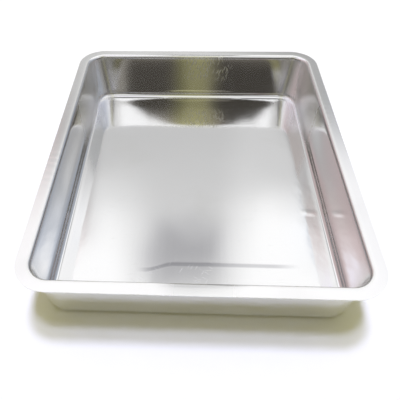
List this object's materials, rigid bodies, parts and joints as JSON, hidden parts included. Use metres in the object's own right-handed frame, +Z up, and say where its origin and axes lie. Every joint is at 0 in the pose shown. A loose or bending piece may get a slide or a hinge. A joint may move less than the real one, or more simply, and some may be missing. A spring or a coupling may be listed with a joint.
{
  "type": "aluminium tray",
  "caption": "Shallow rectangular aluminium tray pressed in one piece, with a flat flange, near-upright walls, rounded corners and a flat floor.",
  "frame": {"origin": "under the middle of the floor, on the face that the tray stands on", "axes": "+Z up out of the tray's mouth, +Y along its longer side, +X across it"},
  "size_m": [0.25, 0.3, 0.05],
  "materials": {
    "aluminium_sheet": "bright rolled sheet, softly brushed, with fine scratches"
  },
  "bodies": {
    "root": {"tray": "aluminium_sheet"}
  },
  "joints": []
}
